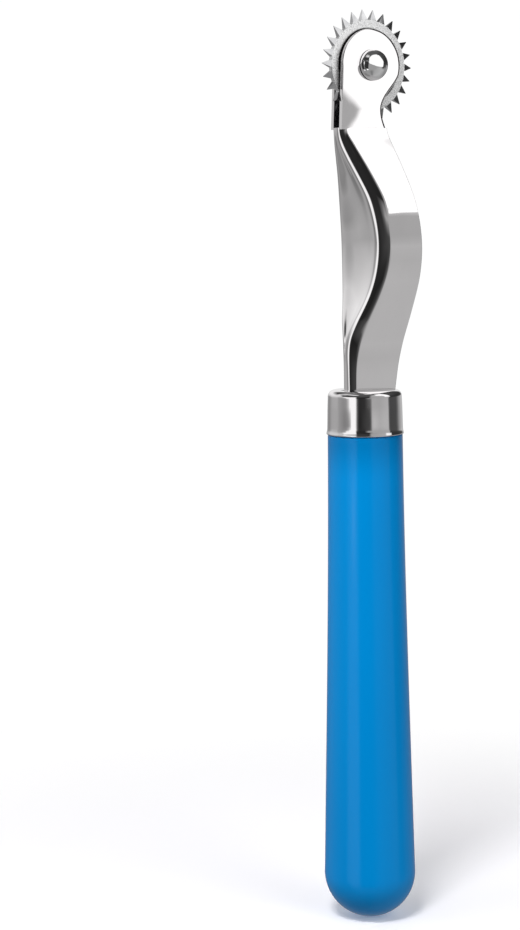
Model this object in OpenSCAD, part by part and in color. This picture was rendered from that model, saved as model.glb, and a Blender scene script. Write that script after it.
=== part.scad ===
// Hand-held toothed cutting wheel: a fork folded from one plated sheet, with a dished finger rest,
// carries a free-running steel wheel and is held in a moulded handle by a tang and a ferrule.
// Z runs up the tool from the butt, X is square to the wheel's axle, Y is the axle's direction.
// The origin is under the wheel's centre, at the height of the butt.

/* [Handle] */
// Height of the coloured handle, from the butt to the ferrule's lip
handle_h = 89.6; // [85:0.2:95]
// Radius of the handle just under the ferrule
handle_top_r = 6.78; // [6.6:0.02:6.9]
// Radius of the rounded butt
handle_butt_r = 8.35; // [7.8:0.05:9]
// Depth of the tang's pocket below the ferrule's top
tang_depth = 27; // [15:1:40]

/* [Ferrule] */
// Height of the ferrule
ferrule_h = 8; // [7.5:0.1:8.5]
// Radius of the ferrule's barrel under its shoulder
ferrule_r = 6.68; // [6.6:0.02:6.7]
// Radius of the rolled lip at its lower edge
ferrule_lip_r = 7.0; // [6.95:0.05:7.2]
// Wall of the drawn cap
ferrule_t = 0.5; // [0.4:0.05:0.5]

/* [Fork] */
// Thickness of the sheet
sheet_t = 0.8; // [0.7:0.05:0.8]
// Outside width of the fork at its head and at the ferrule
fork_w = 3.26; // [3.2:0.02:3.4]
// Outside width of the finger rest at its widest
rest_w = 13.6; // [11:0.2:14]
// How far the finger rest is hollowed across its width
rest_dish = 0.45; // [0:0.05:0.6]
// Radius of the round cheeks about the axle
head_r = 6.4; // [6.2:0.1:6.6]
// Height of the axle above the ferrule's top
axle_up = 57.6; // [57:0.1:58]
// How far the axle stands forward of the handle's axis
axle_fwd = 1.27; // [1.1:0.01:1.4]

/* [Wheel] */
// Radius over the points of the teeth
tip_r = 9.8; // [9.4:0.1:10]
// Radius at the bottom of the gaps between the teeth
root_r = 7.95; // [7.6:0.05:8]
// Number of teeth
teeth = 26; // [20:1:28]
// Width of a tooth at its base
tooth_w = 1.36; // [1:0.02:1.4]
// Thickness of the wheel
wheel_t = 1.0; // [0.8:0.05:1]
// Turn of the wheel about its axle as it stands
wheel_turn = -1.3; // [-10:0.1:10]

/* [Axle] */
// Radius of the rivet's shank
rivet_r = 1.2; // [1:0.05:1.3]
// Radius of the domed head
dome_r = 2.75; // [2.4:0.05:2.9]
// Radius of the closed head on the other side
closed_r = 2.3; // [2:0.05:2.5]
// Outside radius of the bush that the wheel turns on
bush_r = 1.8; // [1.7:0.05:1.9]

/* [Hidden] */
hx = -axle_fwd;                      // the handle's axis
top_z = handle_h + ferrule_h;        // the ferrule's top face
axle_z = top_z + axle_up;
gap = fork_w - 2 * sheet_t;          // space between the cheeks
fit = 0.05;                          // easy fit between still parts
run = 0.05;                          // radial running clearance of the wheel
seat_z = top_z - ferrule_t;          // underside of the ferrule's top
spigot_r = ferrule_r - ferrule_t - 0.03;
web_top = 46.6;                      // height of the finger rest's upper edge above the ferrule
tang_x = 3.6;                        // free edge of the narrowed tang

// Stations of the folded shank: height above the ferrule's top, outer face of the back,
// share of the finger rest's extra width, outer radius of the two folds, free edges.
STATIONS = [
    [0.0, -4.10, 0.00, 0.90, 5.75],
    [4.4, -4.14, 0.01, 1.00, 6.45],
    [7.4, -4.18, 0.07, 1.28, 6.98],
    [9.4, -4.02, 0.16, 1.50, 7.25],
    [11.4, -3.49, 0.29, 1.45, 7.45],
    [13.4, -2.80, 0.43, 1.36, 7.60],
    [16.4, -1.80, 0.64, 1.30, 7.80],
    [19.4, -1.16, 0.82, 1.36, 8.00],
    [22.4, -0.82, 0.94, 1.46, 8.05],
    [25.4, -0.72, 1.00, 1.55, 8.00],
    [28.4, -0.86, 0.99, 1.55, 7.82],
    [31.4, -1.28, 0.94, 1.62, 7.45],
    [34.4, -1.93, 0.84, 1.72, 6.92],
    [37.4, -2.92, 0.63, 1.72, 6.36],
    [40.4, -4.03, 0.40, 1.66, 5.75],
    [43.4, -5.20, 0.18, 1.45, 4.95],
    [45.4, -5.68, 0.03, 1.05, 4.52],
    [46.0, -5.72, 0.00, 0.90, 4.40],
    [46.6, -5.75, 0.00, 0.90, 4.35]];

// the station's values at any height, by a smooth curve through the table
function seg(h, i = 0) = (i >= len(STATIONS) - 2 || h < STATIONS[i + 1][0]) ? i : seg(h, i + 1);
function slope(i, k) =
    let(a = max(i - 1, 0), b = min(i + 1, len(STATIONS) - 1))
    (STATIONS[b][k] - STATIONS[a][k]) / (STATIONS[b][0] - STATIONS[a][0]);
function at(h, k) =
    let(i = seg(h), d = STATIONS[i + 1][0] - STATIONS[i][0], u = (h - STATIONS[i][0]) / d)
    STATIONS[i][k] * (2 * u^3 - 3 * u^2 + 1) + STATIONS[i + 1][k] * (3 * u^2 - 2 * u^3)
    + slope(i, k) * d * (u^3 - 2 * u^2 + u) + slope(i + 1, k) * d * (u^3 - u^2);

// one closed U-shaped section: x of the back, width, fold radius, free edge, height
N_FOLD = 5;
function fold(cx, cy, r, a0, a1) = [for (i = [0 : N_FOLD]) let(a = a0 + (a1 - a0) * i / N_FOLD)
    [cx + r * cos(a), cy + r * sin(a)]];
function section(x, w, r, xf, z) =
    let(ri = max(r - sheet_t, 0.1), hw = w / 2, c = hw - r, ci = hw - sheet_t - ri,
        dish = rest_dish * min(1, max(0, (w - fork_w) / 6)))
    [for (p = concat(
        [[xf, -hw]],
        fold(x + r, -c, r, 270, 180),
        [for (s = [-0.5, 0, 0.5]) [x + dish * (1 - s * s), s * c]],
        fold(x + r, c, r, 180, 90),
        [[xf, hw], [xf, hw - sheet_t]],
        fold(x + sheet_t + ri, ci, ri, 90, 180),
        [for (s = [0.5, 0, -0.5]) [x + sheet_t + dish * (1 - s * s), s * ci]],
        fold(x + sheet_t + ri, -ci, ri, 180, 270),
        [[xf, -hw + sheet_t]])) [p[0] + hx, p[1], z]];

HEIGHTS = concat([for (h = [0 : 2 : 8]) h], [for (h = [9.4 : 1.5 : 44]) h], [45, 46, web_top]);
TANG = [[top_z - tang_depth, tang_x - 1.6], [top_z - tang_depth + 2, tang_x],
        [seat_z - 0.2, tang_x], [seat_z - 0.1, STATIONS[0][4]]];
SHANK = concat(
    [for (t = TANG) section(STATIONS[0][1], fork_w, STATIONS[0][3], t[1], t[0])],
    [for (h = HEIGHTS) section(at(h, 1), fork_w + (rest_w - fork_w) * at(h, 2), at(h, 3), at(h, 4), top_z + h)]);

// a solid through a row of closed sections, with a U-shaped cap at each end
module loft(rows) {
    m = len(rows[0]);
    n = len(rows);
    half = m / 2;
    cap = [for (i = [0 : half - 2]) [i, i + 1, m - 2 - i, m - 1 - i]];
    polyhedron(
        points = [for (r = rows) for (p = r) p],
        faces = concat(
            [for (c = cap) for (t = [[c[2], c[1], c[0]], [c[3], c[2], c[0]]]) t],
            [for (c = cap) for (t = [[c[0], c[1], c[2]], [c[0], c[2], c[3]]])
                [for (q = t) q + (n - 1) * m]],
            [for (j = [0 : n - 2]) for (i = [0 : m - 1])
                let(a = j * m + i, b = j * m + (i + 1) % m)
                for (t = [[b + m, a + m, a], [b, b + m, a]]) t]),
        convexity = 10);
}

// outline of the fork's flat cheek above the finger rest, in X and Z
function bez(p, u) = p[0] * (1 - u)^3 + 3 * p[1] * u * (1 - u)^2 + 3 * p[2] * u * u * (1 - u) + p[3] * u^3;
module cheek_outline() {
    foot = top_z + web_top;
    back_x = -5.60 + hx;
    neck = [[3.46 + hx, foot + 3.2], [3.46 + hx, foot + 5.4], [6.75 + hx, foot + 7.4],
            [head_r * cos(15), axle_z - head_r * sin(15)]];
    low = [[4.30 + hx, foot + 0.07], [3.85 + hx, foot + 1.1], [3.46 + hx, foot + 2.0], [3.46 + hx, foot + 3.2]];
    polygon(concat(
        [[back_x, foot - 0.3], [4.30 + hx, foot - 0.3], [4.32 + hx, foot - 0.12]],
        [for (i = [0 : 6]) bez(low, i / 6)],
        [for (i = [1 : 11]) bez(neck, i / 11)],
        [for (i = [1 : 39]) let(a = -15 + 197 * i / 39) [head_r * cos(a), axle_z + head_r * sin(a)]]));
}

module fork() {
    color([0.86, 0.86, 0.87])
    difference() {
        union() {
            loft(SHANK);
            for (y = [-fork_w / 2 + sheet_t - 0.01, fork_w / 2 - 0.01])
                translate([0, y, 0]) rotate([90, 0, 0]) linear_extrude(height = sheet_t - 0.02) cheek_outline();
        }
        translate([0, 0, axle_z]) rotate([90, 0, 0]) cylinder(r = rivet_r + 0.02, h = 20, center = true, $fn = 48);
    }
}

// the handle's radius at a height: near straight under the ferrule, then a steady swell to the butt
function swell(z) = let(u = (handle_h - z) / (handle_h - handle_butt_r))
    handle_top_r + (handle_butt_r - handle_top_r) * (0.30 * u + 1.15 * u^2 - 0.45 * u^3);
module handle() {
    color([0.0, 0.55, 0.84])
    difference() {
        translate([hx, 0, 0]) rotate_extrude($fn = 96) polygon(concat(
            [[0, 0]],
            [for (i = [1 : 15]) let(a = 90 * i / 15)
                [handle_butt_r * sin(a), handle_butt_r * (1 - cos(a))]],
            [for (i = [1 : 12]) let(z = handle_butt_r + (handle_h - 0.25 - handle_butt_r) * i / 12) [swell(z), z]],
            [[handle_top_r - 0.25, handle_h], [spigot_r, handle_h], [spigot_r, seat_z - 0.65],
             [spigot_r - 0.4, seat_z - 0.25], [0, seat_z - 0.25]]));
        // pocket moulded round the tang
        translate([hx, 0, top_z - tang_depth - 0.1]) linear_extrude(height = tang_depth) difference() {
            translate([STATIONS[0][1] - fit, -fork_w / 2 - fit])
                square([tang_x - STATIONS[0][1] + 2 * fit, fork_w + 2 * fit]);
            translate([STATIONS[0][1] + sheet_t + fit, -gap / 2 + fit]) square([20, gap - 2 * fit]);
        }
    }
}

module ferrule() {
    r = ferrule_r;
    shoulder = 0.95;
    color([0.78, 0.78, 0.79])
    difference() {
        translate([hx, 0, 0]) rotate_extrude($fn = 96) polygon(concat(
            [[handle_top_r + 0.03, handle_h], [ferrule_lip_r - 0.12, handle_h], [ferrule_lip_r, handle_h + 0.14],
             [ferrule_lip_r - 0.02, handle_h + 0.34], [ferrule_lip_r - 0.11, handle_h + 0.6],
             [r + 0.14, handle_h + 2.2], [r + 0.06, handle_h + 4.4]],
            [for (i = [0 : 6]) let(a = 90 * i / 6)
                [r - shoulder + shoulder * cos(a), top_z - shoulder + shoulder * sin(a)]],
            [[0, top_z], [0, seat_z], [spigot_r + 0.03 - 0.45, seat_z], [spigot_r + 0.03, seat_z - 0.45],
             [spigot_r + 0.03, handle_h + 0.06]],
            [[handle_top_r - 0.2, handle_h + 0.06]]));
        // slot for the shank
        translate([hx + STATIONS[0][1] - 0.1, -fork_w / 2 - 0.1, seat_z - 1])
            cube([STATIONS[0][4] - STATIONS[0][1] + 0.22, fork_w + 0.2, 3]);
    }
}

module toothed_wheel() {
    // bevel of the teeth: full thickness up to just above the root, then down to a thin point
    bevel_r = root_r + 0.08;
    slant = (tip_r - bevel_r) / (wheel_t / 2 - 0.06);
    color([0.62, 0.62, 0.63])
    translate([0, 0, axle_z]) rotate([90, 0, 0]) rotate([0, 0, wheel_turn])
    difference() {
        intersection() {
            linear_extrude(height = wheel_t, center = true) polygon([for (i = [0 : teeth - 1])
                let(a = 360 * i / teeth, b = asin(tooth_w / 2 / root_r))
                for (p = [[root_r, -b], [tip_r, -0.25], [tip_r, 0.25], [root_r, b]])
                    [p[0] * cos(a + p[1]), p[0] * sin(a + p[1])]]);
            rotate_extrude($fn = 96) polygon([[0, -wheel_t], [bevel_r - slant * wheel_t / 2, -wheel_t],
                [bevel_r, -wheel_t / 2], [tip_r + 0.4, -0.06 + 0.4 / slant], [tip_r + 0.4, 0.06 - 0.4 / slant],
                [bevel_r, wheel_t / 2], [bevel_r - slant * wheel_t / 2, wheel_t], [0, wheel_t]]);
        }
        cylinder(r = bush_r + run, h = 4, center = true, $fn = 48);
    }
}

module axle_bush() {
    color([0.7, 0.7, 0.71])
    translate([0, 0, axle_z]) rotate([90, 0, 0]) difference() {
        cylinder(r = bush_r, h = gap - 0.02, center = true, $fn = 48);
        cylinder(r = rivet_r + 0.03, h = gap + 1, center = true, $fn = 48);
    }
}

module axle_rivet() {
    color([0.8, 0.8, 0.82])
    translate([0, 0, axle_z]) rotate([90, 0, 0]) union() {
        cylinder(r = rivet_r, h = fork_w + 0.4, center = true, $fn = 48);
        // domed head
        translate([0, 0, fork_w / 2 + 0.01]) intersection() {
            translate([0, 0, -0.05]) sphere(r = dome_r, $fn = 64);
            cylinder(r = dome_r + 1, h = dome_r + 1);
        }
        // closed head
        translate([0, 0, -fork_w / 2 - 0.01]) intersection() {
            translate([0, 0, closed_r * 0.9]) sphere(r = closed_r * 1.345, $fn = 64);
            translate([0, 0, -4]) cylinder(r = dome_r + 1, h = 4);
        }
    }
}

handle();
ferrule();
fork();
toothed_wheel();
axle_bush();
axle_rivet();
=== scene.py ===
import math

import bmesh
import bpy
from mathutils import Matrix, Vector


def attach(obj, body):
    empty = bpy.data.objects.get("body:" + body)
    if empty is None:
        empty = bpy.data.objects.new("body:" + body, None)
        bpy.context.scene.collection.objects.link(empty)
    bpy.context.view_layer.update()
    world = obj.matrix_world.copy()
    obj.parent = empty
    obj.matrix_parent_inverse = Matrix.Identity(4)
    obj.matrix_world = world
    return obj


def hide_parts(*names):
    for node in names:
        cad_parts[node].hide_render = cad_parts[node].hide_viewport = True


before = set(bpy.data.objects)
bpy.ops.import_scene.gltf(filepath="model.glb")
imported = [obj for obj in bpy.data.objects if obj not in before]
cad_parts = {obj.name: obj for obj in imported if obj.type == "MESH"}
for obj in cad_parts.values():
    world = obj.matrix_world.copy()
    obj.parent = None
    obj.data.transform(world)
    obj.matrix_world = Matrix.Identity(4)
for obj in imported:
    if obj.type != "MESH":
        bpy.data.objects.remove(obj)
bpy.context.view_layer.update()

MM = 0.001
scene = bpy.context.scene

# ---------------------------------------------------------------- sizes, in millimetres, as in the CAD part
HX = -1.27                 # the handle's axis
HANDLE_H = 89.6
TOP_R, BUTT_R = 6.78, 8.35
TOP_Z = 97.6               # the ferrule's top
FER_R, LIP_R, FER_T = 6.68, 7.0, 0.5
SHEET, FORK_W, REST_W, DISH = 0.8, 3.26, 13.6, 0.45
HEAD_R, AXLE_Z = 6.4, 155.2
TIP_R, ROOT_R, TEETH, TOOTH_W, WHEEL_T, TURN = 9.8, 7.95, 26, 1.36, 1.0, -1.3
RIVET_R, DOME_R, CLOSED_R, BUSH_R = 1.2, 2.75, 2.3, 1.8
WEB_TOP = 46.6
GAP = FORK_W - 2 * SHEET
SEAT_Z = TOP_Z - FER_T
SPIGOT_R = FER_R - FER_T - 0.03


# ---------------------------------------------------------------- camera
def spin(axis, angle):
    return Matrix.Rotation(angle, 3, Vector(axis))


def make_camera():
    view = math.radians(36.6)
    out = Vector((math.sin(view), math.cos(view), 0))
    place = -385.407 * out + Vector((HX, 0, 128.941))
    ahead = spin((0, 0, 1), 0.0496) @ out
    right = ahead.cross(Vector((0, 0, 1))).normalized()
    ahead = spin(right, -0.1157) @ ahead
    up = right.cross(ahead)
    roll = spin(ahead, 0.0167)
    right, up = roll @ right, roll @ up
    data = bpy.data.cameras.new("camera")
    data.sensor_width = 36.0
    data.lens = 2140 * 36 / 930
    data.clip_start, data.clip_end = 0.01, 50
    cam = bpy.data.objects.new("camera", data)
    m = Matrix((right, up, -ahead)).transposed().to_4x4()
    m.translation = place * MM
    cam.matrix_world = m
    scene.collection.objects.link(cam)
    scene.camera = cam


make_camera()


# ---------------------------------------------------------------- mesh helpers
def crease(bm, degrees):
    """Hard edges where two faces meet at more than this angle; level faces are shaded flat."""
    for e in bm.edges:
        if len(e.link_faces) == 2 and e.calc_face_angle(0) > math.radians(degrees):
            e.smooth = False
    for f in bm.faces:
        if abs(f.normal.z) > 0.99999:
            f.smooth = False


def new_object(name, bm, sharp=None):
    bmesh.ops.remove_doubles(bm, verts=bm.verts, dist=1e-8)
    bmesh.ops.recalc_face_normals(bm, faces=bm.faces)
    if sharp is not None:
        crease(bm, sharp)
    data = bpy.data.meshes.new(name)
    bm.to_mesh(data)
    bm.free()
    o = bpy.data.objects.new(name, data)
    scene.collection.objects.link(o)
    return o


def revolve(points, sides, place=lambda x, y, z: (x, y, z)):
    """A closed solid of revolution; points are (radius, height), and a radius of 0 is a pole."""
    bm = bmesh.new()
    rings = []
    for r, z in points:
        if r < 1e-6:
            rings.append([bm.verts.new(Vector(place(0, 0, z)) * MM)])
        else:
            rings.append([bm.verts.new(Vector(place(r * math.cos(2 * math.pi * i / sides),
                                                    r * math.sin(2 * math.pi * i / sides), z)) * MM)
                          for i in range(sides)])
    for a, b in zip(rings, rings[1:]):
        for i in range(sides):
            j = (i + 1) % sides
            if len(a) == 1 and len(b) == 1:
                continue
            if len(a) == 1:
                f = bm.faces.new((a[0], b[i], b[j]))
            elif len(b) == 1:
                f = bm.faces.new((a[i], a[j], b[0]))
            else:
                f = bm.faces.new((a[i], a[j], b[j], b[i]))
            f.smooth = True
    return bm


def arc(cx, cy, r, a0, a1, n, ends=(True, True)):
    pts = []
    for i in range(n + 1):
        if (i == 0 and not ends[0]) or (i == n and not ends[1]):
            continue
        a = math.radians(a0 + (a1 - a0) * i / n)
        pts.append((cx + r * math.cos(a), cy + r * math.sin(a)))
    return pts


def cut(o, bm, sharp):
    """Takes the solid in bm out of o, then marks the hard edges."""
    tool = new_object("cutter", bm)
    m = o.modifiers.new("cut", "BOOLEAN")
    m.operation, m.object, m.solver = "DIFFERENCE", tool, "EXACT"
    dg = bpy.context.evaluated_depsgraph_get()
    made = bpy.data.meshes.new_from_object(o.evaluated_get(dg))
    o.modifiers.clear()
    old = o.data
    o.data = made
    bpy.data.meshes.remove(old)
    bpy.data.objects.remove(tool, do_unlink=True)
    bm = bmesh.new()
    bm.from_mesh(made)
    crease(bm, sharp)
    bm.to_mesh(made)
    bm.free()


def box(lo, hi):
    bm = bmesh.new()
    bmesh.ops.create_cube(bm, size=1)
    for v in bm.verts:
        v.co = Vector((((lo[k] + hi[k]) / 2 + v.co[k] * (hi[k] - lo[k])) * MM for k in range(3)))
    return bm


# ---------------------------------------------------------------- node helpers
class Nodes:
    def __init__(self, tree):
        self.tree = tree
        tree.nodes.clear()

    def add(self, kind, **values):
        n = self.tree.nodes.new(kind)
        for k, v in values.items():
            if hasattr(n, k):
                setattr(n, k, v)
            else:
                n.inputs[k.replace("_", " ")].default_value = v
        return n

    def link(self, a, b):
        self.tree.links.new(a, b)

    def math(self, op, a, b=None, c=None, clamp=False):
        n = self.tree.nodes.new("ShaderNodeMath")
        n.operation, n.use_clamp = op, clamp
        for i, v in enumerate((a, b, c)):
            if v is None:
                continue
            if isinstance(v, (int, float)):
                n.inputs[i].default_value = v
            else:
                self.link(v, n.inputs[i])
        return n.outputs[0]

    def noise(self, vector, scale, detail=2.0, rough=0.5, distortion=0.0):
        n = self.tree.nodes.new("ShaderNodeTexNoise")
        n.inputs["Scale"].default_value = scale
        n.inputs["Detail"].default_value = detail
        n.inputs["Roughness"].default_value = rough
        n.inputs["Distortion"].default_value = distortion
        self.link(vector, n.inputs["Vector"])
        return n.outputs[0]

    def stretch(self, vector, scale):
        n = self.tree.nodes.new("ShaderNodeMapping")
        n.inputs["Scale"].default_value = scale
        self.link(vector, n.inputs["Vector"])
        return n.outputs[0]

    def ramp(self, fac, stops):
        n = self.tree.nodes.new("ShaderNodeValToRGB")
        e = n.color_ramp.elements
        while len(e) < len(stops):
            e.new(0.5)
        for x, (p, c) in zip(e, stops):
            x.position = p
        for x, (p, c) in zip(sorted(e, key=lambda q: q.position), stops):
            x.position = p
            x.color = (c, c, c, 1) if isinstance(c, (int, float)) else (*c, 1)
        self.link(fac, n.inputs[0])
        return n.outputs[0]

    def span(self, value, a, b, lo, hi, smooth=False):
        n = self.tree.nodes.new("ShaderNodeMapRange")
        n.clamp = True
        if smooth:
            n.interpolation_type = "SMOOTHSTEP"
        for i, v in zip((1, 2, 3, 4), (a, b, lo, hi)):
            n.inputs[i].default_value = v
        self.link(value, n.inputs[0])
        return n.outputs[0]

    def mix(self, fac, a, b, mode="MIX"):
        n = self.tree.nodes.new("ShaderNodeMix")
        n.data_type = "RGBA"
        n.blend_type = mode
        for s, v in ((n.inputs[0], fac), (n.inputs[6], a), (n.inputs[7], b)):
            if isinstance(v, (int, float)):
                s.default_value = v if s is n.inputs[0] else (v, v, v, 1)
            elif isinstance(v, tuple):
                s.default_value = (*v, 1)
            else:
                self.link(v, s)
        return n.outputs[2]

    def bump(self, height, strength, distance, normal=None):
        n = self.tree.nodes.new("ShaderNodeBump")
        n.inputs["Strength"].default_value = strength
        n.inputs["Distance"].default_value = distance
        self.link(height, n.inputs["Height"])
        if normal is not None:
            self.link(normal, n.inputs["Normal"])
        return n.outputs[0]


def material(name, **sockets):
    m = bpy.data.materials.new(name)
    m.use_nodes = True
    n = Nodes(m.node_tree)
    out = m.node_tree.nodes.new("ShaderNodeOutputMaterial")
    b = m.node_tree.nodes.new("ShaderNodeBsdfPrincipled")
    n.link(b.outputs[0], out.inputs[0])
    for k, v in sockets.items():
        b.inputs[k.replace("_", " ")].default_value = v
    where = m.node_tree.nodes.new("ShaderNodeTexCoord").outputs["Object"]
    return m, n, b, where


def plastic():
    m, n, b, p = material("blue_plastic", IOR=1.45, Specular_IOR_Level=0.2)
    sep = n.tree.nodes.new("ShaderNodeSeparateXYZ")
    n.link(p, sep.inputs[0])
    cloud = n.noise(n.stretch(p, (60, 60, 18)), 1.0, 3)
    fine = n.noise(p, 2600, 2)
    blue = n.ramp(cloud, [(0.3, (0.0, 0.262, 0.690)), (0.55, (0.0, 0.274, 0.715)), (0.75, (0.0, 0.284, 0.732))])
    blue = n.mix(n.span(fine, 0.35, 0.7, 0.0, 0.06), blue, (0.002, 0.31, 0.77))
    # painted shade: the blue darkens from 81 mm up to the ferrule's lip, standing in for the shade the ferrule casts
    # on the handle's top
    n.link(n.mix(n.span(sep.outputs[2], 81 * MM, (HANDLE_H + 0.5) * MM, 0.0, 1.0, True), blue, (0.0, 0.185, 0.49)),
           b.inputs["Base Color"])
    smear = n.noise(n.stretch(p, (90, 90, 30)), 1.0, 4, 0.6)
    n.link(n.span(smear, 0.3, 0.75, 0.13, 0.21), b.inputs["Roughness"])
    peel = n.noise(p, 520, 2)
    n.link(n.bump(peel, 0.12, 0.00004), b.inputs["Normal"])
    return m


def chrome(name, tint, low, high, wave=0.10, lines=False):
    m, n, b, p = material(name, Metallic=1.0)
    haze = n.noise(n.stretch(p, (150, 150, 90)), 1.0, 4, 0.6)
    n.link(n.ramp(haze, [(0.25, tuple(c * 0.965 for c in tint)), (0.6, tint)]), b.inputs["Base Color"])
    smear = n.noise(n.stretch(p, (420, 420, 200)), 1.0, 4, 0.65)
    n.link(n.span(smear, 0.35, 0.75, low, high), b.inputs["Roughness"])
    swell = n.noise(p, 190, 1)
    pits = n.noise(p, 4200, 2)
    h = n.math("ADD", swell, n.math("MULTIPLY", pits, 0.012))
    n.link(n.bump(h, wave, 0.00012), b.inputs["Normal"])
    return m


def wheel_steel():
    m, n, b, p = material("blasted_wheel_steel", Metallic=1.0)
    sep = n.tree.nodes.new("ShaderNodeSeparateXYZ")
    n.link(p, sep.inputs[0])
    dz = n.math("SUBTRACT", sep.outputs[2], AXLE_Z * MM)
    radius = n.math("SQRT", n.math("ADD", n.math("MULTIPLY", sep.outputs[0], sep.outputs[0]), n.math("MULTIPLY", dz, dz)))
    ground = n.span(radius, 8.02 * MM, 8.10 * MM, 0.0, 1.0)
    speck = n.noise(p, 3600, 3, 0.65)
    blotch = n.noise(p, 700, 2)
    face = n.mix(n.span(blotch, 0.35, 0.65, 0.0, 0.5),
                 n.ramp(speck, [(0.36, 0.42), (0.48, 0.80), (0.6, 1.0)]), (0.84, 0.84, 0.85))
    plain = face
    # painted shade: a near-black ring on the wheel's face from 5.5 to 6.72 mm radius, full between 5.9 and 6.45 mm,
    # along the cheeks' edge, standing in for the shadow the cheeks cast there; inside 5.5 mm the face is plain again
    face = n.mix(n.span(radius, 6.45 * MM, 6.72 * MM, 0.0, 1.0, True), (0.035, 0.033, 0.034), face)
    face = n.mix(n.span(radius, 5.5 * MM, 5.9 * MM, 0.0, 1.0, True), plain, face)
    edge = n.ramp(n.noise(n.stretch(p, (900, 900, 900)), 1.0, 2), [(0.3, (0.56, 0.56, 0.57)), (0.7, (0.72, 0.72, 0.73))])
    n.link(n.mix(ground, face, edge), b.inputs["Base Color"])
    rough = n.span(speck, 0.35, 0.65, 0.32, 0.46)
    n.link(n.math("ADD", n.math("MULTIPLY", rough, n.math("SUBTRACT", 1.0, ground)), n.math("MULTIPLY", ground, 0.10)),
           b.inputs["Roughness"])
    n.link(n.bump(n.math("MULTIPLY", speck, n.math("SUBTRACT", 1.0, n.math("MULTIPLY", ground, 0.85))), 0.5, 0.00004),
           b.inputs["Normal"])
    return m


def turned_steel():
    m, n, b, p = material("turned_bush_steel", Metallic=1.0)
    rings = n.noise(n.stretch(p, (200, 9000, 200)), 1.0, 2)
    n.link(n.ramp(rings, [(0.3, (0.42, 0.42, 0.43)), (0.7, (0.60, 0.60, 0.61))]), b.inputs["Base Color"])
    n.link(n.span(rings, 0.3, 0.7, 0.22, 0.36), b.inputs["Roughness"])
    n.link(n.bump(rings, 0.3, 0.00002), b.inputs["Normal"])
    return m


PLASTIC = plastic()
CHROME = chrome("plated_fork_chrome", (0.958, 0.940, 0.945), 0.02, 0.055)
INSIDE = chrome("unbuffed_fork_inside", (0.50, 0.50, 0.51), 0.20, 0.34)
# painted shade: a near-black chrome for the undercut below the rivet's head, standing in for the shade in that groove
SHADE = chrome("painted_shade_rivet_undercut", (0.05, 0.05, 0.052), 0.35, 0.5)
FERRULE = chrome("plated_ferrule_chrome", (0.945, 0.924, 0.932), 0.03, 0.07, wave=0.14)
RIVET = chrome("polished_rivet_chrome", (0.93, 0.93, 0.935), 0.03, 0.06, wave=0.2)
WHEEL = wheel_steel()
BUSH = turned_steel()


# ---------------------------------------------------------------- handle
def swell(z):
    u = (HANDLE_H - z) / (HANDLE_H - BUTT_R)
    return TOP_R + (BUTT_R - TOP_R) * (0.30 * u + 1.15 * u * u - 0.45 * u ** 3)


def make_handle():
    pts = [(BUTT_R * math.sin(math.radians(a)), BUTT_R * (1 - math.cos(math.radians(a)))) for a in [90 * i / 30 for i in range(31)]]
    pts[0] = (0, 0)
    steps = 64
    pts += [(swell(z), z) for z in [BUTT_R + (HANDLE_H - 0.3 - BUTT_R) * i / steps for i in range(1, steps + 1)]]
    pts += arc(swell(HANDLE_H - 0.3) - 0.3, HANDLE_H - 0.3, 0.3, 0, 90, 5, (False, True))
    pts += [(SPIGOT_R, HANDLE_H), (SPIGOT_R, SEAT_Z - 0.65), (SPIGOT_R - 0.4, SEAT_Z - 0.25), (0, SEAT_Z - 0.25)]
    o = new_object("handle_moulding", revolve(pts, 144, lambda x, y, z: (x + HX, y, z)), 40)
    # pocket moulded round the tang, in the U shape of the folded sheet
    lo_z = TOP_Z - 27.1
    x0, x1 = HX - 4.10 - 0.05, HX + 3.60 + 0.05
    w = FORK_W / 2 + 0.05
    bm = bmesh.new()
    g = GAP / 2 - 0.05
    out = [(x0, -w), (x1, -w), (x1, -g), (x0 + 0.9, -g), (x0 + 0.9, g), (x1, g), (x1, w), (x0, w)]
    lower = [bm.verts.new(Vector((x, y, lo_z)) * MM) for x, y in out]
    upper = [bm.verts.new(Vector((x, y, SEAT_Z + 1)) * MM) for x, y in out]
    bm.faces.new(lower)
    bm.faces.new(upper)
    for i in range(8):
        bm.faces.new((lower[i], lower[(i + 1) % 8], upper[(i + 1) % 8], upper[i]))
    cut(o, bm, 40)
    return o


# ---------------------------------------------------------------- ferrule
def make_ferrule():
    r, h = FER_R, HANDLE_H
    pts = [(TOP_R + 0.03, h + 0.02), (LIP_R - 0.17, h)]
    pts += arc(LIP_R - 0.17, h + 0.17, 0.17, -90, 20, 8, (False, True))
    pts += [(LIP_R - 0.05, h + 0.40), (LIP_R - 0.11, h + 0.60), (LIP_R - 0.15, h + 0.85), (r + 0.145, h + 1.3),
            (r + 0.13, h + 2.0), (r + 0.11, h + 3.0), (r + 0.085, h + 4.2), (r + 0.05, h + 5.4), (r, h + 6.5)]
    sh = 1.15
    pts += [(r - 0.01, TOP_Z - sh)] + arc(r - sh - 0.01, TOP_Z - sh, sh, 6, 90, 16)
    pts += [(3.0, TOP_Z), (0, TOP_Z), (0, SEAT_Z)]
    pts += [(SPIGOT_R + 0.03 - 0.45, SEAT_Z)] + arc(SPIGOT_R + 0.03 - 0.45, SEAT_Z - 0.45, 0.45, 90, 0, 5, (False, True))
    pts += [(SPIGOT_R + 0.03, h + 0.25), (TOP_R + 0.03, h + 0.20), (TOP_R + 0.03, h + 0.02)]
    o = new_object("ferrule_cap", revolve(pts, 144, lambda x, y, z: (x + HX, y, z)), 50)
    cut(o, box((HX - 4.20, -FORK_W / 2 - 0.1, SEAT_Z - 1), (HX + 5.87, FORK_W / 2 + 0.1, TOP_Z + 1)), 45)
    return o


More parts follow.
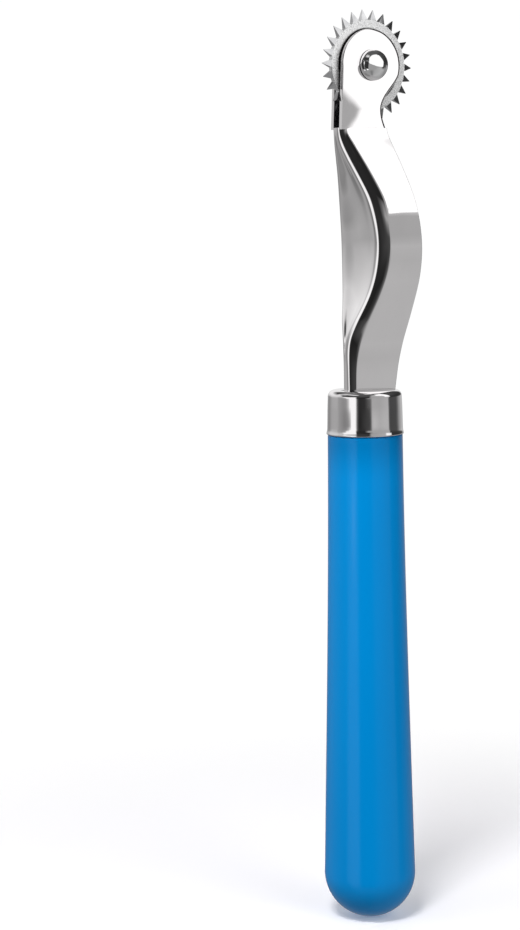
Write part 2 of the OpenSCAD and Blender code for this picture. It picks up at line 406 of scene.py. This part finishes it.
# ---------------------------------------------------------------- fork
# height above the ferrule's top, outer face of the back, share of the finger rest's extra width, fold, free edges
STATIONS = [
    (0.0, -4.10, 0.00, 0.90, 5.75), (4.4, -4.14, 0.01, 1.00, 6.45), (7.4, -4.18, 0.07, 1.28, 6.98),
    (9.4, -4.02, 0.16, 1.50, 7.25), (11.4, -3.49, 0.29, 1.45, 7.45), (13.4, -2.80, 0.43, 1.36, 7.60),
    (16.4, -1.80, 0.64, 1.30, 7.80), (19.4, -1.16, 0.82, 1.36, 8.00), (22.4, -0.82, 0.94, 1.46, 8.05),
    (25.4, -0.72, 1.00, 1.55, 8.00), (28.4, -0.86, 0.99, 1.55, 7.82), (31.4, -1.28, 0.94, 1.62, 7.45),
    (34.4, -1.93, 0.84, 1.72, 6.92), (37.4, -2.92, 0.63, 1.72, 6.36), (40.4, -4.03, 0.40, 1.66, 5.75),
    (43.4, -5.20, 0.18, 1.45, 4.95), (45.4, -5.68, 0.03, 1.05, 4.52), (46.0, -5.72, 0.00, 0.90, 4.40),
    (46.6, -5.75, 0.00, 0.90, 4.35)]


def at(h, k):
    i = 0
    while i < len(STATIONS) - 2 and h >= STATIONS[i + 1][0]:
        i += 1

    def slope(j):
        a, b = max(j - 1, 0), min(j + 1, len(STATIONS) - 1)
        return (STATIONS[b][k] - STATIONS[a][k]) / (STATIONS[b][0] - STATIONS[a][0])
    d = STATIONS[i + 1][0] - STATIONS[i][0]
    u = (h - STATIONS[i][0]) / d
    return (STATIONS[i][k] * (2 * u ** 3 - 3 * u ** 2 + 1) + STATIONS[i + 1][k] * (3 * u ** 2 - 2 * u ** 3)
            + slope(i) * d * (u ** 3 - 2 * u ** 2 + u) + slope(i + 1) * d * (u ** 3 - u ** 2))


def smooth_table(step=0.4, passes=6):
    """The stations, evened out so that the mirror finish shows no ripples."""
    n = round(WEB_TOP / step)
    hs = [WEB_TOP * i / n for i in range(n + 1)]
    rows = [[at(h, k) for k in range(1, 5)] for h in hs]
    for _ in range(passes):
        new = [list(r) for r in rows]
        for i in range(1, n):
            reach = 1.0 if hs[i] < 44.5 else 0.35
            for k in range(4):
                new[i][k] = rows[i][k] + reach * 0.5 * ((rows[i - 1][k] + rows[i + 1][k]) / 2 - rows[i][k])
        rows = new
    return hs, rows


# the fold's profile, from the back to the cheek: a broad, slightly crowned face between two tighter bends
FOLD = []
x = y = 0.0
turn = 0.0
FOLD.append((0.0, 0.0))
for radius, upto, n in ((1.75, 42, 9), (7.1, 58, 7), (0.6, 90, 7)):
    start = turn
    for i in range(1, n + 1):
        a0, a1 = math.radians(start + (upto - start) * (i - 1) / n), math.radians(start + (upto - start) * i / n)
        x += radius * (math.cos(a0) - math.cos(a1))
        y += radius * (math.sin(a1) - math.sin(a0))
        FOLD.append((x, y))
    turn = upto
FOLD = [(p / FOLD[-1][0], q / FOLD[-1][1]) for p, q in FOLD]      # from (0, 0) to (1, 1)


def ring(xb, w, r, xf, rc=0.05):
    """One section: paired lists of outer and inner points, from one free edge round the back to the other."""
    hw, ri = w / 2, max(r - SHEET, 0.1)
    c, ci = hw - r, hw - SHEET - ri
    dish = DISH * min(1, max(0, (w - FORK_W) / 6))
    half_o = [(xf, -hw + rc + 0.04), (xf, -hw + rc)] + [(xf - rc + rc * math.cos(a), -hw + rc - rc * math.sin(a))
                                                        for a in [math.pi / 2 * i / 3 for i in (1, 2, 3)]]
    half_o += [(xf - rc - 0.04, -hw)]
    half_i = [(xf, -hw + SHEET - rc - 0.04), (xf, -hw + SHEET - rc)]
    half_i += [(xf - rc + rc * math.cos(a), -hw + SHEET - rc + rc * math.sin(a)) for a in [math.pi / 2 * i / 3 for i in (1, 2, 3)]]
    half_i += [(xf - rc - 0.04, -hw + SHEET)]
    n = 12
    xo, xi = xb + r, xb + SHEET + ri
    half_o += [(xf - rc + (xo - xf + rc) * i / n, -hw) for i in range(1, n)]
    half_i += [(xf - rc + (xi - xf + rc) * i / n, -hw + SHEET) for i in range(1, n)]
    half_o += [(xb + r * p, -hw + r * (1 - q)) for p, q in reversed(FOLD)]
    half_i += [(xb + SHEET + ri * p, -hw + SHEET + ri * (1 - q)) for p, q in reversed(FOLD)]
    n = 10
    for i in range(1, n + 1):
        s = -1 + i / n
        d = dish * (1 - s * s) ** 1.5
        half_o.append((xb + d, s * c))
        half_i.append((xb + SHEET + d, s * ci))
    outer = half_o + [(p, -q) for p, q in reversed(half_o[:-1])]
    inner = half_i + [(p, -q) for p, q in reversed(half_i[:-1])]
    return outer, inner


def bez(p, u):
    return tuple(p[0][k] * (1 - u) ** 3 + 3 * p[1][k] * u * (1 - u) ** 2 + 3 * p[2][k] * u * u * (1 - u) + p[3][k] * u ** 3
                 for k in (0, 1))


def make_fork():
    bm = bmesh.new()
    hs, rows = smooth_table()
    tang = [(-27.0, 1.2), (-26.6, 2.2), (-26.0, 2.9), (-25.0, 3.6), (-12.0, 3.6), (-0.9, 3.6), (-0.62, 3.9), (-0.55, 5.5), (-0.5, 5.75)]
    table = [(h, STATIONS[0][1], FORK_W, STATIONS[0][3], xf) for h, xf in tang]
    table += [(h, r[0], FORK_W + (REST_W - FORK_W) * r[1], r[2], r[3]) for h, r in zip(hs, rows)]
    grid = []
    for h, xb, w, r, xf in table:
        broad = min(1, (w - FORK_W) / 4)
        o, i = ring(xb - 0.10 - 0.25 * broad, w + 0.22 * broad, r * 1.5, xf)
        grid.append(([bm.verts.new(Vector((p + HX, q, TOP_Z + h)) * MM) for p, q in o],
                     [bm.verts.new(Vector((p + HX, q, TOP_Z + h)) * MM) for p, q in i]))
    m = len(grid[0][0])
    for (ao, ai), (bo, bi) in zip(grid, grid[1:]):
        for j in range(m - 1):
            bm.faces.new((ao[j], ao[j + 1], bo[j + 1], bo[j])).smooth = True
            f = bm.faces.new((ai[j], bi[j], bi[j + 1], ai[j + 1]))
            f.smooth = True
            f.material_index = 1
        for j in (0, m - 1):
            bm.faces.new((ao[j], bo[j], bi[j], ai[j])).smooth = True
    for o, i in (grid[0], grid[-1]):
        for j in range(m - 1):
            bm.faces.new((o[j], o[j + 1], i[j + 1], i[j]))
    # flat cheeks
    foot = TOP_Z + WEB_TOP
    back_x = -5.60 + HX
    a15 = math.radians(15)
    neck = [(3.46 + HX, foot + 3.2), (3.46 + HX, foot + 5.4), (6.75 + HX, foot + 7.4),
            (HEAD_R * math.cos(a15), AXLE_Z - HEAD_R * math.sin(a15))]
    low = [(4.30 + HX, foot + 0.07), (3.85 + HX, foot + 1.1), (3.46 + HX, foot + 2.0), (3.46 + HX, foot + 3.2)]
    outline = [(back_x, foot - 0.3), (4.30 + HX, foot - 0.3), (4.32 + HX, foot - 0.12)]
    outline += [bez(low, i / 8) for i in range(9)]
    outline += [bez(neck, i / 18) for i in range(1, 19)]
    outline += [(HEAD_R * math.cos(math.radians(-15 + 197 * i / 90)), AXLE_Z + HEAD_R * math.sin(math.radians(-15 + 197 * i / 90)))
                for i in range(1, 91)]
    k = len(outline)
    normals = []
    for i in range(k):
        a, b = Vector(outline[i - 1]), Vector(outline[(i + 1) % k])
        t = (b - a).normalized()
        normals.append(Vector((-t.y, t.x)))         # points inwards, the outline runs anticlockwise
    # the outer rim is rounded broadly along the front and the neck, tightly along the back; the inner rim is only broken
    front = [min(1, max(0, (0.35 - q.x) / 0.6)) for q in normals]
    broad = [0.14 + 0.46 * f * f * (3 - 2 * f) for f in front]
    turns = [math.pi / 2 * i / 8 for i in range(9)]
    for side in (-1, 1):
        near = side * (FORK_W / 2 - 0.008)
        loops = []
        for a in turns:
            loops.append((1 - math.sin(a), 1 - math.cos(a), 1))
        for a in reversed(turns[::4]):
            loops.append((1 - math.sin(a), 1 - math.cos(a), 0))
        made = []
        for inset, depth, outer in loops:
            ring_v = []
            for i in range(k):
                rc = broad[i] if outer else 0.06
                y = near - side * rc * depth if outer else near - side * (SHEET - 0.016) + side * rc * depth
                q = Vector(outline[i]) + normals[i] * (rc * inset if 2 < i else 0.0)
                ring_v.append(bm.verts.new(Vector((q.x, y, q.y)) * MM))
            made.append(ring_v)
        for a, b in zip(made, made[1:]):
            for i in range(k):
                bm.faces.new((a[i], a[(i + 1) % k], b[(i + 1) % k], b[i])).smooth = True
        bm.faces.new(made[0])
        bm.faces.new(made[-1]).material_index = 1
    return new_object("fork_sheet", bm, 35)


# ---------------------------------------------------------------- rivet
def make_rivet():
    y0 = FORK_W / 2 + 0.01
    rise = 0.16                      # the head stands off the cheek on a small undercut
    pts = [(0, y0 + DOME_R - 0.05)]
    for i in range(1, 29):
        a = math.radians(90 * i / 28)
        pts.append((DOME_R * math.sin(a), y0 + rise + (DOME_R - 0.05 - rise) * math.cos(a)))
    pts += [(DOME_R - 0.05, y0 + rise - 0.05), (DOME_R - 0.24, y0 + 0.06), (DOME_R - 0.26, y0)]
    pts += [(RIVET_R + 0.0, y0), (RIVET_R, -y0)]
    big = CLOSED_R * 1.345
    c = CLOSED_R * 0.9
    rim = math.sqrt(big ** 2 - c ** 2)
    lim = math.asin(rim / big)
    pts += [(big * math.sin(lim * i / 14), -y0 + c - big * math.cos(lim * i / 14)) for i in range(14, 0, -1)]
    pts += [(0, -y0 + c - big)]
    bm = revolve(pts, 96, lambda x, y, z: (x, -z, AXLE_Z + y))
    # the undercut's faces take the second material, the near-black painted shade
    for f in bm.faces:
        if y0 * MM < -f.calc_center_median().y < (y0 + rise - 0.02) * MM:
            f.material_index = 1
    return new_object("axle_rivet_head", bm, 40)


handle = make_handle()
handle.data.materials.clear()
handle.data.materials.append(PLASTIC)
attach(handle, "tool")
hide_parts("handle")

ferrule = make_ferrule()
ferrule.data.materials.clear()
ferrule.data.materials.append(FERRULE)
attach(ferrule, "tool")
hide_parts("ferrule")

fork = make_fork()
fork.data.materials.append(CHROME)
fork.data.materials.append(INSIDE)
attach(fork, "tool")
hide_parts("fork")

rivet = make_rivet()
rivet.data.materials.append(RIVET)
rivet.data.materials.append(SHADE)
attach(rivet, "tool")
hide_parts("axle_rivet")

for node, mat in (("toothed_wheel", WHEEL), ("axle_bush", BUSH)):
    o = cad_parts[node]
    for s in o.material_slots:
        s.material = mat


# ---------------------------------------------------------------- studio: floor, backdrop, lights
def srgb(v):
    v = v / 255
    return v / 12.92 if v <= 0.04045 else ((v + 0.055) / 1.055) ** 2.4


def plane_object(name, corners, mat):
    bm = bmesh.new()
    bm.faces.new([bm.verts.new(c) for c in corners])
    data = bpy.data.meshes.new(name)
    bm.to_mesh(data)
    bm.free()
    data.materials.append(mat)
    o = bpy.data.objects.new(name, data)
    scene.collection.objects.link(o)
    return o


def glow(name, strength, colour=(1, 1, 1)):
    m = bpy.data.materials.new(name)
    m.use_nodes = True
    n = Nodes(m.node_tree)
    out = m.node_tree.nodes.new("ShaderNodeOutputMaterial")
    e = m.node_tree.nodes.new("ShaderNodeEmission")
    e.inputs[0].default_value = (*colour, 1)
    e.inputs[1].default_value = strength
    n.link(e.outputs[0], out.inputs[0])
    return m


def make_floor():
    m = bpy.data.materials.new("pale_floor")
    m.use_nodes = True
    n = Nodes(m.node_tree)
    out = m.node_tree.nodes.new("ShaderNodeOutputMaterial")
    d = m.node_tree.nodes.new("ShaderNodeBsdfDiffuse")
    place = m.node_tree.nodes.new("ShaderNodeTexCoord").outputs["Object"]
    grain = n.noise(place, 900, 2)
    n.link(n.mix(n.span(grain, 0.3, 0.7, 0.0, 1.0), (0.86, 0.85, 0.88), (0.868, 0.858, 0.888)), d.inputs[0])
    near = m.node_tree.nodes.new("ShaderNodeEmission")
    near.inputs[1].default_value = 0.17
    both = m.node_tree.nodes.new("ShaderNodeAddShader")
    n.link(d.outputs[0], both.inputs[0])
    n.link(near.outputs[0], both.inputs[1])
    far = m.node_tree.nodes.new("ShaderNodeEmission")
    far.inputs[1].default_value = 1.02
    length = m.node_tree.nodes.new("ShaderNodeVectorMath")
    length.operation = "LENGTH"
    n.link(place, length.inputs[0])
    fade = m.node_tree.nodes.new("ShaderNodeMixShader")
    n.link(n.span(length.outputs[1], 0.05, 0.17, 0.0, 1.0, True), fade.inputs[0])
    n.link(both.outputs[0], fade.inputs[1])
    n.link(far.outputs[0], fade.inputs[2])
    n.link(fade.outputs[0], out.inputs[0])
    size = 6.0
    o = plane_object("floor", [(size * math.cos(2 * math.pi * i / 64), size * math.sin(2 * math.pi * i / 64), 0) for i in range(64)], m)
    o.visible_glossy = o.visible_diffuse = False
    return o


def make_backdrop():
    bm = bmesh.new()
    bmesh.ops.create_icosphere(bm, subdivisions=4, radius=5.5)
    data = bpy.data.meshes.new("backdrop")
    bm.to_mesh(data)
    bm.free()
    data.materials.append(glow("white_backdrop", 1.02))
    o = bpy.data.objects.new("backdrop", data)
    scene.collection.objects.link(o)
    o.visible_diffuse = o.visible_glossy = o.visible_transmission = o.visible_shadow = False
    o.visible_volume_scatter = False
    return o


make_floor()
make_backdrop()

# the studio round the object, as rows of brightness by azimuth (degrees from +X towards +Y), one row per elevation
ROWS = [
    (-50, [(0, 165), (90, 160), (200, 150), (230, 120), (260, 165), (320, 180), (360, 165)]),
    (-31, [(0, 145), (100, 150), (155, 130), (180, 140), (200, 165), (245, 160), (320, 181), (360, 150)]),
    (-24, [(0, 140), (60, 130), (95, 122), (111, 148), (122, 156), (136, 161), (146, 150), (165, 118), (180, 116), (186, 235),
           (204, 235), (210, 70), (243, 70), (252, 150), (268, 170), (300, 181), (335, 181), (350, 150), (360, 140)]),
    (-13, [(0, 150), (60, 140), (92, 118), (102, 132), (109, 156), (120, 161), (132, 158), (142, 145), (155, 126), (166, 112),
           (172, 120), (177, 252), (205, 252), (211, 60), (220, 30), (240, 34), (250, 95), (262, 140), (290, 165), (300, 176),
           (312, 176), (315, 62), (330, 62), (337, 130), (360, 150)]),
    (-8, [(0, 150), (40, 170), (92, 132), (104, 146), (110, 164), (127, 171), (140, 165), (155, 132), (166, 105),
          (174, 120), (181, 252), (204, 252), (210, 70), (217, 34), (240, 44), (248, 70), (256, 160), (290, 172), (304, 179),
          (311, 178), (315, 75), (340, 70), (352, 120), (360, 150)]),
    (-3.5, [(0, 140), (8, 158), (20, 190), (50, 195), (80, 150), (92, 140), (110, 164), (127, 168), (140, 166), (148, 152),
            (160, 140), (168, 130), (180, 137), (188, 170), (191, 254), (204, 254), (209, 110), (214, 44), (219, 38), (232, 58),
            (247, 68), (251, 90), (256, 180), (262, 188), (279, 177), (296, 182), (309, 181), (313, 90), (318, 70), (345, 74),
            (354, 105), (360, 140)]),
    (-1, [(0, 150), (12, 180), (30, 200), (55, 220), (80, 160), (92, 146), (104, 168), (113, 182), (128, 178), (138, 176), (143, 158),
          (162, 144), (174, 150), (182, 200), (186, 254), (205, 254), (209, 110), (214, 50), (219, 44), (232, 50), (247, 74),
          (252, 110), (256, 170), (279, 166), (296, 172), (309, 176), (313, 100), (318, 72), (345, 76), (354, 110), (360, 150)]),
    (3, [(0, 70), (30, 80), (40, 215), (55, 235), (75, 220), (92, 180), (104, 197), (111, 197), (119, 192), (128, 188), (137, 184),
         (143, 165), (160, 150), (170, 165), (176, 252), (204, 254), (208, 60), (217, 36), (226, 40), (233, 40), (239, 110),
         (244, 165), (285, 166), (312, 168), (316, 60), (345, 60), (360, 70)]),
    (10, [(0, 50), (30, 60), (40, 240), (75, 235), (95, 215), (103, 222), (109, 218), (122, 210), (133, 203), (141, 194), (146, 176),
          (158, 188), (168, 252), (204, 254), (208, 45), (229, 40), (247, 32), (252, 110), (258, 165), (312, 168), (316, 50),
          (345, 50), (360, 50)]),
    (16, [(0, 45), (30, 55), (40, 240), (75, 245), (100, 236), (123, 226), (140, 216), (147, 200), (160, 200), (168, 254), (204, 254),
          (208, 45), (229, 40), (247, 34), (252, 150), (298, 172), (303, 255), (319, 255), (322, 50), (345, 50), (360, 45)]),
    (24, [(0, 55), (30, 60), (40, 200), (60, 235), (95, 240), (130, 226), (143, 215), (150, 198), (156, 90), (180, 70), (190, 150),
          (202, 150), (210, 60), (246, 60), (254, 165), (298, 178), (303, 255), (320, 255), (323, 60), (345, 60), (360, 55)]),
    (31, [(0, 60), (30, 60), (50, 110), (75, 130), (90, 170), (118, 190), (128, 226), (146, 218), (153, 70), (202, 60), (209, 70), (248, 70), (256, 165), (297, 180), (303, 255), (320, 255), (323, 70), (345, 65), (360, 60)]),
    (38, [(0, 65), (30, 60), (50, 90), (90, 80), (114, 55), (121, 225), (132, 235), (140, 120), (153, 50), (202, 55), (208, 75), (250, 75), (258, 168), (296, 190), (303, 255), (318, 250), (323, 75), (345, 70), (360, 65)]),
    (46, [(0, 72), (18, 70), (40, 80), (60, 120), (85, 100), (110, 70), (126, 200), (150, 190), (160, 60), (200, 60), (208, 80),
          (252, 75), (262, 165), (290, 190), (302, 220), (314, 200), (320, 80), (345, 70), (360, 72)]),
    (57, [(0, 80), (30, 110), (60, 130), (115, 130), (130, 215), (150, 205), (187, 250), (199, 220), (208, 80), (256, 75), (268, 150),
          (291, 190), (310, 110), (340, 60), (360, 80)]),
    (70, [(0, 90), (360, 90)]),
]


def make_world():
    w = bpy.data.worlds.new("studio")
    scene.world = w
    w.use_nodes = True
    n = Nodes(w.node_tree)
    out = w.node_tree.nodes.new("ShaderNodeOutputWorld")
    bg = w.node_tree.nodes.new("ShaderNodeBackground")
    n.link(bg.outputs[0], out.inputs[0])
    way = w.node_tree.nodes.new("ShaderNodeTexCoord").outputs["Generated"]
    sep = w.node_tree.nodes.new("ShaderNodeSeparateXYZ")
    n.link(way, sep.inputs[0])
    az = n.math("FRACT", n.math("MULTIPLY", n.math("ARCTAN2", sep.outputs[1], sep.outputs[0]), 1 / (2 * math.pi)))
    el = n.math("MULTIPLY", n.math("ARCSINE", sep.outputs[2]), 180 / math.pi)
    colour = None
    last = None
    for e, stops in ROWS:
        c = n.ramp(az, [(a / 360, srgb(v)) for a, v in stops])
        colour = c if colour is None else n.mix(n.span(el, last, e, 0.0, 1.0), colour, c)
        last = e
    n.link(colour, bg.inputs[0])
    bg.inputs[1].default_value = 1.0
    return w


make_world()


def lamp(name, az, el, distance, size, power, target=(0, 0, 0.06), glossy=False):
    data = bpy.data.lights.new(name, "AREA")
    data.shape = "DISK"
    data.size = size
    data.energy = power
    o = bpy.data.objects.new(name, data)
    a, e = math.radians(az), math.radians(el)
    way = Vector((math.cos(a) * math.cos(e), math.sin(a) * math.cos(e), math.sin(e)))
    t = Vector(target)
    o.location = t + way * distance
    o.rotation_mode = "QUATERNION"
    o.rotation_quaternion = (-way).to_track_quat("-Z", "Y")
    o.visible_camera = False
    o.visible_glossy = glossy
    scene.collection.objects.link(o)
    return o


lamp("key_light", 215, 52, 0.42, 0.14, 1.5, (0, 0, 0.09))
lamp("fill_light", 280, 28, 0.9, 0.6, 2.3, (0, 0, 0.09))
lamp("back_light", 45, 25, 0.9, 0.6, 1.3, (0, 0, 0.09))
lamp("side_light", 165, 30, 0.9, 0.6, 1.5, (0, 0, 0.09))


# a white card close to the head, on the side that the flat cheeks mirror
def card():
    way = Vector((0.596, -0.803, 0)).normalized()
    across = Vector((0.803, 0.596, 0)).normalized()
    m = glow("card_glow", 1.15)
    n = Nodes.__new__(Nodes)
    n.tree = m.node_tree
    out, light = n.tree.nodes["Material Output"], n.tree.nodes["Emission"]
    sep = n.tree.nodes.new("ShaderNodeSeparateXYZ")
    n.link(n.tree.nodes.new("ShaderNodeTexCoord").outputs["Object"], sep.inputs[0])
    u, z = sep.outputs[0], sep.outputs[2]

    def side(p, q, soft):
        """1 on the left of the line from p to q, 0 on its right, millimetres."""
        d = (Vector(q) - Vector(p)).normalized()
        far = n.math("ADD", n.math("MULTIPLY", u, -d.y / MM), n.math("MULTIPLY", z, d.x / MM))
        off = -d.y * p[0] + d.x * p[1]
        return n.span(far, off - soft, off + soft, 0.0, 1.0, True)

    base = side((-60, 147.9), (60, 147.9), 0.35)
    right = side((20, 0), (20, 300), 0.8)
    upper = side((-60, 209.2), (-2.9, 152.0), 1.1)
    lower = side((-3.0, 152.6), (-6.0, 147.9), 0.9)
    both = n.math("MINIMUM", base, right)
    whole = n.math("MINIMUM", both, n.math("MAXIMUM", upper, n.math("MULTIPLY", lower, 1.0)))
    clear = n.tree.nodes.new("ShaderNodeBsdfTransparent")
    blend = n.tree.nodes.new("ShaderNodeMixShader")
    n.link(whole, blend.inputs[0])
    n.link(clear.outputs[0], blend.inputs[1])
    n.link(light.outputs[0], blend.inputs[2])
    n.link(blend.outputs[0], out.inputs[0])
    corners = [Vector((u_, 0, z_)) * MM for u_, z_ in ((-60, 140), (24, 140), (24, 300), (-60, 300))]
    o = plane_object("white_card", corners, m)
    turn = Matrix((across, way, Vector((0, 0, 1)))).transposed().to_4x4()
    turn.translation = way * 0.1
    o.matrix_world = turn
    o.visible_camera = o.visible_diffuse = o.visible_transmission = o.visible_shadow = False
    return o


card()


def soft_box(name, strength, centre, directions, reach):
    """A curved reflector round one point, seen only in the polished metal; directions are (azimuth, elevation)."""
    def point(az, el):
        a, e = math.radians(az), math.radians(el)
        return Vector((math.cos(a) * math.cos(e), math.sin(a) * math.cos(e), math.sin(e)))
    bm = bmesh.new()
    rim = [point(*d) for d in directions]
    mid = sum(rim, Vector()).normalized()
    steps = 8
    fans = []
    k = len(rim)
    for i in range(k):
        for j in range(6):
            fans.append((rim[i] * (1 - j / 6) + rim[(i + 1) % k] * (j / 6)).normalized())
    loops = [[bm.verts.new((Vector(centre) + (mid * (1 - t / steps) + q * (t / steps)).normalized() * reach) * MM) for q in fans]
             for t in range(1, steps + 1)]
    hub = bm.verts.new((Vector(centre) + mid * reach) * MM)
    for i in range(len(fans)):
        bm.faces.new((hub, loops[0][i], loops[0][(i + 1) % len(fans)]))
        for p, q in zip(loops, loops[1:]):
            bm.faces.new((p[i], q[i], q[(i + 1) % len(fans)], p[(i + 1) % len(fans)]))
    data = bpy.data.meshes.new(name)
    bm.to_mesh(data)
    bm.free()
    data.materials.append(glow(name + "_glow", strength))
    o = bpy.data.objects.new(name, data)
    scene.collection.objects.link(o)
    o.visible_camera = o.visible_diffuse = o.visible_transmission = o.visible_shadow = False
    return o


soft_box("rivet_box", 1.1, (0, -FORK_W / 2, AXLE_Z),
         [(214, 15), (212, 44), (235, 62), (290, 62), (303, 45), (318, 15), (312, -11), (268, -11), (218, 6)], 13)
soft_box("rivet_fill", 0.34, (0, -FORK_W / 2, AXLE_Z),
         [(200, -30), (262, -30), (275, -14), (262, 0), (215, 20), (200, 20)], 15)
soft_box("rivet_flag", 0.03, (0, -FORK_W / 2, AXLE_Z), [(180, -24), (207, -24), (212, 8), (207, 20), (180, 20)], 13.5)
soft_box("handle_strip", 2.4, (HX, 0, 80), [(191, -6.2), (201, -6.2), (201, -11.2), (191, -11.2)], 150)

scene.view_settings.view_transform = "Standard"
scene.view_settings.look = "None"
scene.cycles.use_denoising = True
